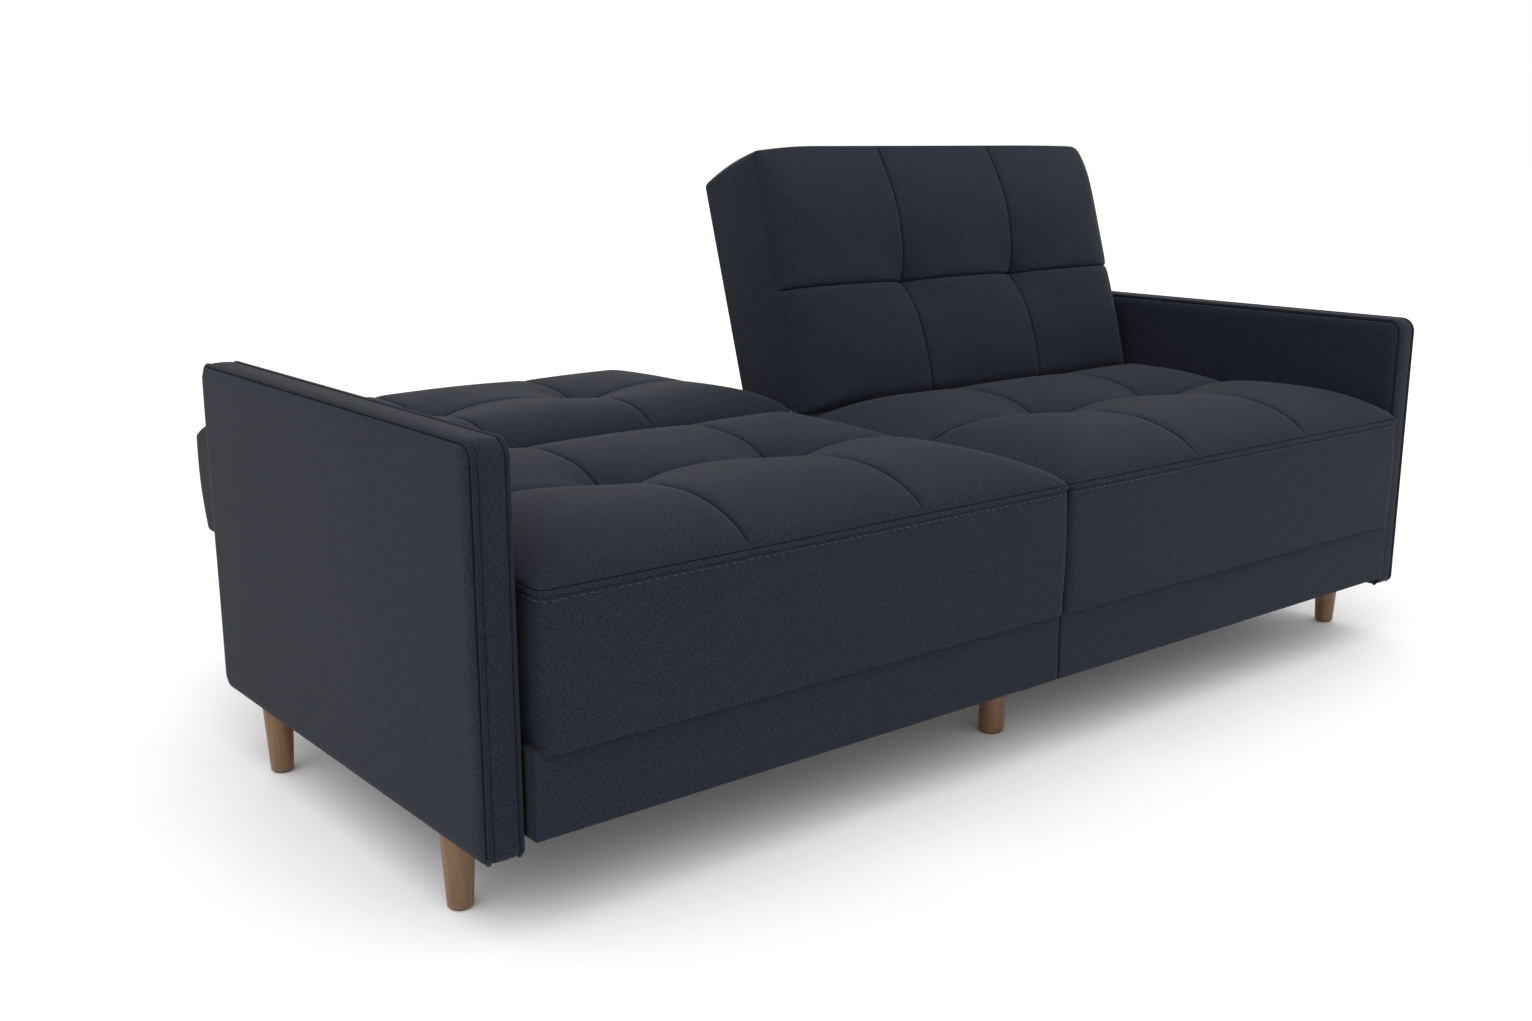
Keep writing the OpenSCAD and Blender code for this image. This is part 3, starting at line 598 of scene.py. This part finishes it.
def stitch_row(sheets, a, b, place, depth, offset=0.0003, pitch=0.0128, length=0.0095, radius=0.0005):
    """Short spindles of thread in a row round a ring of points, at one depth down the side of a pad."""
    out_a, out_b = outward(a, b)
    ring_a, ring_b = a + out_a * offset, b + out_b * offset
    travelled = ring_length(ring_a, ring_b)
    total = travelled[-1]
    ring_a, ring_b = closed(ring_a), closed(ring_b)
    turn = np.linspace(0, 2 * math.pi, 6)[:-1]
    for k in range(int(total / pitch)):
        ends = np.array([-0.5, -0.25, 0.25, 0.5]) * length + (k + 0.5) * pitch
        thick = np.array([0.15, 1.0, 1.0, 0.15]) * radius
        pa, pb = np.interp(ends, travelled, ring_a), np.interp(ends, travelled, ring_b)
        dip = np.array([-0.0006, 0.0, 0.0, -0.0006])
        oa, ob = pa - np.mean(ring_a[:-1]), pb - np.mean(ring_b[:-1])
        along = np.array([pa[-1] - pa[0], pb[-1] - pb[0]])
        along /= max(np.hypot(*along), 1e-9)
        normal = np.array([along[1], -along[0]])
        if normal @ np.array([oa.mean(), ob.mean()]) < 0:
            normal = -normal
        rings = []
        for p, q, t, d in zip(pa, pb, thick, dip):
            side = np.cos(turn) * t + d
            rings.append(place(p + normal[0] * side, q + normal[1] * side, np.sin(turn) * t - depth))
        rings = np.array(rings)
        wrapped = np.concatenate([rings, rings[:, :1]], 1)
        sheets.grid(wrapped, np.zeros((4, 6, 2)))
        for end in (0, -1):
            sheets.cap(rings[end], np.zeros((5, 2)))


# ---------------------------------------------------------------- seats

def side_sign(side):
    return -1.0 if side == "left" else 1.0


def seat_place(side):
    sign = side_sign(side)

    def place(a, b, h):
        return np.stack([sign * a, b, SEAT_EDGE_Z + h], -1)
    return place


SEAT_RECT = (SEAT_LOW.x, SEAT_HIGH.x, SEAT_LOW.y, SEAT_HIGH.y)
SEAT_SIDE = SEAT_EDGE_Z - SEAT_LOW.z
# Steps down a seat's side as (depth, outward), through both seams and the line of topstitching.
SEAT_ROWS = [(0.0, -0.0010), (0.0006, -0.0026), (0.0012, -0.0024), (0.0018, 0.0002), (0.0030, 0.0016),
             (0.0055, 0.0020), (0.0080, 0.0014), (0.0088, 0.0004), (0.0094, -0.0009), (0.0100, -0.0009),
             (0.0108, 0.0000), (0.0125, 0.0003), (0.0140, -0.0004), (0.0155, 0.0003), (0.020, 0.0006)]
SEAT_ROWS += [(d, 0.0006 + SIDE_SWELL * math.sin(math.pi * (d - 0.02) / (SEAT_SIDE - 0.03)))
              for d in np.linspace(0.032, SEAT_SIDE - 0.008, 12)]
SEAT_ROWS += [(SEAT_SIDE + 0.0025, 0.0007), (SEAT_SIDE + 0.0042, 0.0006), (SEAT_SIDE + 0.0050, 0.0)]


def seat_face():
    shoulders = ((0.180, 0.55), (0.150, 0.45), (0.150, 0.85), (0.152, 0.68))
    middle = (SEAT_RECT[2] + SEAT_RECT[3]) / 2
    face = Tufted(SEAT_RECT, SEAT_CROWN, shoulders, middle, trough=0.013, tuft_depth=0.047, reach=0.040,
                  pillow=0.004)
    face.puff = inflate(face, SEAT_SIDE, STUFFING_PRESSURE, 0.012)
    return face


def make_seat(side, face):
    place = seat_place(side)
    lines_a = ruled_lines(SEAT_RECT[0], SEAT_RECT[1], FACE_STEP, face.seam_a)
    lines_b = ruled_lines(SEAT_RECT[2], SEAT_RECT[3], FACE_STEP, [face.seam_b])
    sheets = Sheets()
    pad(sheets, lines_a, lines_b, (SEAT_CORNER,) * 4, face, SEAT_ROWS, place)
    cover = sheets.build(side + "_seat_cover", LINEN)
    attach(cover, "base")
    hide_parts(side + "_seat_cushion")
    thread = Sheets()
    grid_a, grid_b = np.meshgrid(lines_a, lines_b, indexing="ij")
    ring_a, ring_b = rounded(grid_a, grid_b, SEAT_RECT, (SEAT_CORNER,) * 4)
    stitch_row(thread, border(ring_a), border(ring_b), place, 0.0140)
    stitches = thread.build(side + "_seat_topstitch", THREAD, weld=1e-7)
    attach(stitches, "base")


# ---------------------------------------------------------------- backs

BACK_NEAR, BACK_FAR = FLAT_LOW.y - PIVOT.y, FLAT_HIGH.y - PIVOT.y    # along the face, from the pivot
BACK_X0, BACK_X1 = -FLAT_HIGH.x, -FLAT_LOW.x
BACK_DROP_FAR = PIVOT.z - PANEL_LOW.z
BACK_DEPTH = 0.146 + REAR_SWELL                                      # at the hinge end
CROSS_SEAM = BACK_NEAR + 0.230                                       # the sewn line across a back


def back_place(side):
    """Maps a back's own (x, along, rise) into the row frame.
    Its rear face is shorter and further down at the far end."""
    sign = side_sign(side)
    turn = 0.0 if side == "left" else FOLD
    rear_far = BACK_FAR - 0.023
    rear_near = BACK_NEAR + 0.006

    def place(a, b, h):
        down = np.clip(-h / BACK_DEPTH, 0, 1)
        share = (b - BACK_NEAR) / (BACK_FAR - BACK_NEAR)
        along = b + down * (rear_near + share * (rear_far - rear_near) - b)
        deeper = (BACK_DROP_FAR + REAR_SWELL + BACK_FACE - BACK_EDGE_FALL) / BACK_DEPTH - 1
        out = BACK_FACE - BACK_EDGE_FALL * share + np.where(h < 0, h * (1 + deeper * share), h)
        top = np.clip((share - 0.85) / 0.15, 0, 1)
        bow = rise_from(a - BACK_X0, 0.14) * rise_from(BACK_X1 - a, 0.04)
        along = along + top * (TOP_SWELL * np.sin(math.pi * down) + TOP_BOW * bow * (1 - down))
        sunk = np.clip(1 - (BACK_X1 - a) / 0.22, 0, 1) * np.clip((share - 0.55) / 0.45, 0, 1)
        out = out - (0.0 if side == "left" else CORNER_FALL) * sunk * sunk * (1 - down)
        y = along * math.cos(turn) - out * math.sin(turn)
        z = along * math.sin(turn) + out * math.cos(turn)
        return np.stack([sign * a, PIVOT.y + y, PIVOT.z + z], -1)
    return place


EDGE_TURN = math.radians(58)     # slope at which a face meets its rolled edge
BACK_INSET = 0.0005 + BACK_ROLL * (1 - math.sin(EDGE_TURN))
BACK_ROWS = [(BACK_ROLL * (math.cos(EDGE_TURN) - math.cos(t)),
              BACK_ROLL * (math.sin(t) - math.sin(EDGE_TURN)))
             for t in np.linspace(EDGE_TURN, math.pi / 2, 7)]
SIDE_START, SIDE_OUT = BACK_ROWS[-1]
SIDE_LENGTH = BACK_DEPTH - REAR_ROLL - SIDE_START
BACK_ROWS += [(d, SIDE_OUT + SIDE_SWELL * math.sin(math.pi * (d - SIDE_START) / SIDE_LENGTH))
              for d in np.linspace(SIDE_START + 0.010, BACK_DEPTH - 0.018, 10)]
BACK_ROWS += [(BACK_DEPTH - REAR_ROLL + REAR_ROLL * math.sin(t), SIDE_OUT - REAR_ROLL * (1 - math.cos(t)))
              for t in np.linspace(0.0, math.pi / 2, 8)]


def back_face(side):
    """The upright back's stuffing has settled towards its foot, and the flat one's lies evenly."""
    rect = (BACK_X0 + BACK_INSET, BACK_X1 - BACK_INSET, BACK_NEAR + BACK_INSET, BACK_FAR - BACK_INSET)
    flat = side == "left"
    near, far = ((0.125, 1.0), (0.085, 1.0)) if flat else ((0.034, 1.0), (0.150, 0.25))
    crown, settle = (0.040, 0.0) if flat else (0.036, 0.014)
    inner, outer = ((0.140, 1.0), (0.140, 1.0)) if flat else ((0.090, 1.0), (0.075, 1.0))
    shoulders = (inner, outer, near, far)
    face = Tufted(rect, crown, shoulders, CROSS_SEAM, trough=0.0, tuft_depth=0.037, reach=0.042,
                  pillow=0.004, settle=settle, roll=0.003)
    face.puff = inflate(face, BACK_DEPTH, STUFFING_PRESSURE, 0.008)
    return face


def make_back(side, face):
    place = back_place(side)
    lines_a = ruled_lines(face.rect[0], face.rect[1], FACE_STEP, face.seam_a)
    lines_b = ruled_lines(face.rect[2], face.rect[3], FACE_STEP, [face.seam_b])
    sheets = Sheets()
    pad(sheets, lines_a, lines_b, BACK_CORNERS, face, BACK_ROWS, place)
    cover = sheets.build(side + "_back_cover", LINEN)
    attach(cover, side + "_back")
    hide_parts(side + "_back_cushion", side + "_back_panel")


# ---------------------------------------------------------------- arms

def arm_loop(inset, end=4, step=0.03, first_angle=180):
    """(y, z) points round an arm's outline, drawn in by inset: from the bottom front up, over the top
    and down the rear. end is the last corner it passes, and first_angle is where it starts round the
    bottom front corner."""
    y0, y1 = ARM_LOW.y + inset, ARM_HIGH.y - inset
    z0, z1 = ARM_LOW.z + inset, ARM_HIGH.z - inset
    r, toe = ARM_CORNER - inset, ARM_TOE - inset
    corners = [((y0 + toe, z0 + toe), toe, first_angle, 180), ((y0 + r, z1 - r), r, 180, 90),
               ((y1 - r, z1 - r), r, 90, 0), ((y1 - r, z0 + r), r, 0, -90),
               ((y0 + toe, z0 + toe), toe, -90, -180)]
    points = []
    for (cy, cz), radius, a, b in corners[:end + 1]:
        for t in np.radians(np.linspace(a, b, 9 if a != b else 1)):
            p = np.array([cy + radius * math.cos(t), cz + radius * math.sin(t)])
            if points:
                gap = np.linalg.norm(p - points[-1])
                parts = max(1, round(gap / step))
                last = points[-1]
                points += [last + (p - last) * k / parts for k in range(1, parts)]
            points.append(p)
    return np.array(points)


def arm_panel(side, which):
    """Padded face of an arm, rolled over at its edge where it meets the piping."""
    sign = side_sign(side)
    outer = which == "outer"
    low, high = (OUTER_LOW, OUTER_HIGH) if outer else (INNER_LOW, INNER_HIGH)
    face_x = OUTER_HIGH.x if outer else INNER_LOW.x - ARM_SWELL
    way = 1.0 if outer else -1.0
    inset = 0.0055
    rect = (ARM_LOW.y + inset, ARM_HIGH.y - inset, ARM_LOW.z + 0.001, ARM_HIGH.z - inset)
    roll = 0.0062

    def height(a, b):
        edges = np.ones_like(a)
        for distance in (a - rect[0], rect[1] - a, b - rect[2], rect[3] - b):
            edges = edges * quarter(distance + 0.0002, 0.017)
        ripple = 0.0006 * np.sin(a * 9.3 + b * 4.1) * np.sin(b * 11.7 - a * 3.3 + 0.8)
        return roll * edges + ripple * edges - roll

    def place(a, b, h):
        return np.stack([sign * (face_x + way * h), a, b], -1)

    lines_a = ruled_lines(rect[0], rect[1], 0.03)
    lines_b = ruled_lines(rect[2], rect[3], 0.03)
    thick = high.x - low.x + (0.0 if outer else ARM_SWELL)
    r, toe = ARM_CORNER - inset, ARM_TOE - inset
    rows = [(0.0, 0.0), (0.0006, -0.0006), (thick - roll, -0.0006)]
    sheets = Sheets()
    pad(sheets, lines_a, lines_b, (toe, r, r, r), height, rows, place)
    panel = sheets.build(f"{side}_arm_{which}_panel", LINEN)
    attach(panel, "base")
    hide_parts(f"{side}_arm_{which}_pad")


def arm_border(side):
    """Flat strip round the arm's edge between the two rows of piping, tucked in under each."""
    sign = side_sign(side)
    loop = arm_loop(0.0)
    loop = loop[:-1] if np.allclose(loop[0], loop[-1]) else loop
    y, z = loop[:, 0], loop[:, 1]
    out_y, out_z = outward(y[::-1], z[::-1])
    out_y, out_z = out_y[::-1], out_z[::-1]
    x0, x1 = PIPE_LOW.x + 0.002 - ARM_SWELL, PIPE_HIGH.x - 0.002
    wide = x1 - x0
    outer = [(0.0, -0.0050), (0.0, -0.0035), (0.0038, -0.0035), (0.0048, -0.0026), (0.0060, -0.0010),
             (0.0085, 0.0), (0.016, 0.0004), (wide / 2, 0.0006)]
    outer += [(wide - x, o) for x, o in outer[-2::-1]]
    inner = [(wide - 0.001, -0.007), (0.001, -0.007)]
    length = ring_length(y, z)
    points, weave = [], []
    travelled = 0.0
    section = outer + inner + outer[:1]
    for (x, out), (nx, nout) in zip(section, section[1:] + section[-1:]):
        across = np.full(len(y) + 1, sign * (x0 + x))
        points.append(np.stack([across, closed(y + out_y * out), closed(z + out_z * out)], -1))
        weave.append(np.stack([length, np.full(len(length), travelled)], -1))
        travelled += math.hypot(nx - x, nout - out)
    sheets = Sheets()
    sheets.grid(np.array(points), np.array(weave))
    strip = sheets.build(side + "_arm_border_strip", LINEN)
    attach(strip, "base")
    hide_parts(side + "_arm_border")


def arm_piping(side, which):
    """Piping up the front, over the top and down the rear of an arm, with its cut ends standing out below."""
    sign = side_sign(side)
    x = PIPE_LOW.x + PIPING_R - ARM_SWELL if which == "inner" else PIPE_HIGH.x - PIPING_R
    loop = arm_loop(PIPING_R - 0.0008, 3, 0.012, 235)
    tail = [loop[0] + np.array([0.0028, -0.0036]), loop[0] + np.array([0.0018, -0.0018])]
    rear = loop[-1] + np.array([-0.004, -0.002])
    path = np.array(tail + list(loop) + [rear])
    points = np.stack([np.full(len(path), sign * x), path[:, 0], path[:, 1]], -1)
    points[0, 0] += sign * (0.0015 if which == "inner" else -0.0015)
    sheets = Sheets()
    tube(sheets, points, PIPING_R, sides=12)
    piece = sheets.build(f"{side}_arm_{which}_piping", WELT)
    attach(piece, "base")
    if which == "outer":
        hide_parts(side + "_arm_piping")


# ---------------------------------------------------------------- base

def make_apron(side):
    """Linen over the base rail, pulled tight round sharp edges, with a lap of it laid over the apron's outer end.
    """
    sign = side_sign(side)
    rect = (APRON_LOW.x, APRON_HIGH.x, APRON_LOW.z, APRON_HIGH.z + 0.0006)

    def height(a, b):
        edges = np.ones_like(a)
        for distance in (a - rect[0], rect[1] - a, b - rect[2], rect[3] - b):
            edges = edges * quarter(distance + 0.0001, 0.0045)
        ripple = 0.0005 * np.sin(a * 13.0 + 1.0) * np.sin(b * 21.0 + a * 5.0)
        return (0.0032 + ripple) * edges - 0.0032

    def place(a, b, h):
        return np.stack([sign * a, APRON_LOW.y - h, b], -1)

    def lap_height(a, b):
        return 0.0007 * (quarter(APRON_HIGH.y - a, 0.004) - 1) + 0.0002 * np.sin(a * 60) * np.sin(b * 34)

    def lap_place(a, b, h):
        return np.stack([sign * (APRON_HIGH.x + h), a, b], -1)

    rows = [(0.0, 0.0), (0.0012, 0.0), (RAIL_REAR - APRON_LOW.y, 0.0)]
    sheets = Sheets()
    heights = ruled_lines(rect[2], rect[3], 0.02)
    pad(sheets, ruled_lines(rect[0], rect[1], 0.03), heights, (0.0025,) * 4, height, rows, place)
    lap = ruled_lines(RAIL_REAR + 0.0002, APRON_HIGH.y, 0.02)
    lap_rows = [(0.0, 0.0), (0.003, 0.0)]
    pad(sheets, lap, heights, (0.0005, 0.003, 0.003, 0.0005), lap_height, lap_rows, lap_place)
    cover = sheets.build(side + "_apron_cover", LINEN)
    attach(cover, "base")
    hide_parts(side + "_apron")


def make_dust_sheet(side):
    """Nonwoven lining stapled under the frame, sagging a little between its edges."""
    sign = side_sign(side)
    xs = np.linspace(DUST_LOW.x, DUST_HIGH.x, 60)
    ys = np.linspace(DUST_LOW.y, DUST_HIGH.y, 40)
    grid_x, grid_y = np.meshgrid(xs, ys, indexing="ij")
    share_x, share_y = (grid_x - xs[0]) / (xs[-1] - xs[0]), (grid_y - ys[0]) / (ys[-1] - ys[0])
    sag = np.sin(math.pi * share_x) * np.sin(math.pi * share_y)
    pucker = 0.0008 * np.sin(grid_x * 70) * np.sin(grid_y * 64) * (1 - sag)
    z = DUST_HIGH.z - 0.0009 - 0.006 * sag + pucker * sag
    sheets = Sheets()
    sheets.grid(np.stack([sign * grid_x, grid_y, z], -1), np.stack([grid_x, grid_y], -1))
    piece = sheets.build(side + "_dust_sheet", LINING)
    solid = piece.modifiers.new("thickness", "SOLIDIFY")
    solid.thickness = 0.0006
    solid.offset = 0
    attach(piece, "base")
    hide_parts(side + "_dust_cover")


def make_leg(node):
    low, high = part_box(node)
    centre = (low + high) / 2
    top = (high.x - low.x) / 2
    foot = top if node.startswith("centre") else leg_foot(node, low.z)
    ease = 0.0022
    turned = [(foot - ease, low.z), (foot - 0.3 * ease, low.z + 0.3 * ease), (foot, low.z + ease)]
    turned += [(foot + (top - foot) * k / 8, low.z + ease + (high.z - low.z - 1.5 * ease) * k / 8)
               for k in range(1, 9)]
    turned += [(top - 0.4 * ease, high.z)]
    leg = lathe(node + "_turned", centre, turned, WALNUT)
    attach(leg, "base")
    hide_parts(node)


def leg_foot(node, floor):
    """Radius of a CAD leg at its lowest ring of points."""
    mesh = frame["nodes"][node].data
    low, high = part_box(node)
    centre = (low + high) / 2
    return max(math.hypot(v.co.x - centre.x, v.co.y - centre.y)
               for v in mesh.vertices if v.co.z < floor + 0.0005)


# ---------------------------------------------------------------- carried-over CAD nodes

def dress_cad_nodes():
    slots = {s["node"]: s["material_slot"] for s in frame["record"]["subparts"]}
    bevels = {"timber": 0.0020, "steel": 0.0004, "nylon": 0.0004}
    for name, node in frame["nodes"].items():
        if node.hide_render:
            continue
        node.data.materials.clear()
        node.data.materials.append(BY_SLOT[slots[name]])
        width = bevels.get(slots[name])
        if width and name not in ("left_back_hinge_plates", "right_back_hinge_plates"):
            edge = node.modifiers.new("eased edges", "BEVEL")
            edge.width = width
            edge.segments = 2
            edge.limit_method = "ANGLE"
            edge.harden_normals = True


# ---------------------------------------------------------------- camera, light and floor

def make_camera():
    """At the photographer's place: left of the sofa, a little above the arms."""
    data = bpy.data.cameras.new("camera")
    data.sensor_width = 36.0
    data.lens = 36.99
    camera = bpy.data.objects.new("camera", data)
    camera.location = (-1.7633, -2.0295, 0.9158)
    camera.rotation_euler = (math.radians(90 - 13.23), 0, math.radians(-38.89))
    bpy.context.scene.collection.objects.link(camera)
    bpy.context.scene.camera = camera


def make_studio():
    world = bpy.data.worlds.new("studio")
    world.use_nodes = True
    world.node_tree.nodes["Background"].inputs["Color"].default_value = (1, 1, 1, 1)
    world.node_tree.nodes["Background"].inputs["Strength"].default_value = 1.0
    bpy.context.scene.world = world
    sun = bpy.data.lights.new("key", "SUN")
    sun.energy = 1.5
    sun.angle = math.radians(80)
    key = bpy.data.objects.new("key", sun)
    key.rotation_euler = Vector((0.35, 0.42, -1.0)).to_track_quat("-Z", "Y").to_euler()
    bpy.context.scene.collection.objects.link(key)
    bpy.context.scene.view_settings.view_transform = "Standard"


def make_floor():
    mat, tree, shader = new_material("pale_floor")
    coord = tree.nodes.new("ShaderNodeTexCoord")
    spots = noise(tree, coord.outputs["Object"], (3, 3, 3), 3)
    grey = ramp(tree, spots, [(0.3, (0.86, 0.86, 0.86)), (0.7, (0.89, 0.89, 0.89))])
    tree.links.new(grey, shader.inputs["Base Color"])
    shader.inputs["Roughness"].default_value = 0.7
    mesh = bpy.data.meshes.new("floor")
    mesh.from_pydata([(-30, -30, 0), (30, -30, 0), (30, 30, 0), (-30, 30, 0)], [], [(0, 1, 2, 3)])
    mesh.materials.append(mat)
    floor = bpy.data.objects.new("floor", mesh)
    bpy.context.scene.collection.objects.link(floor)


# ---------------------------------------------------------------- the object

make_camera()
make_studio()
make_floor()
seat = seat_face()
for side in ("left", "right"):
    make_seat(side, seat)
    make_back(side, back_face(side))
    for which in ("outer", "inner"):
        arm_panel(side, which)
        arm_piping(side, which)
    arm_border(side)
    make_apron(side)
    make_dust_sheet(side)
    make_leg(side + "_front_leg")
    make_leg(side + "_rear_leg")
make_leg("centre_front_leg")
make_leg("centre_rear_leg")
dress_cad_nodes()
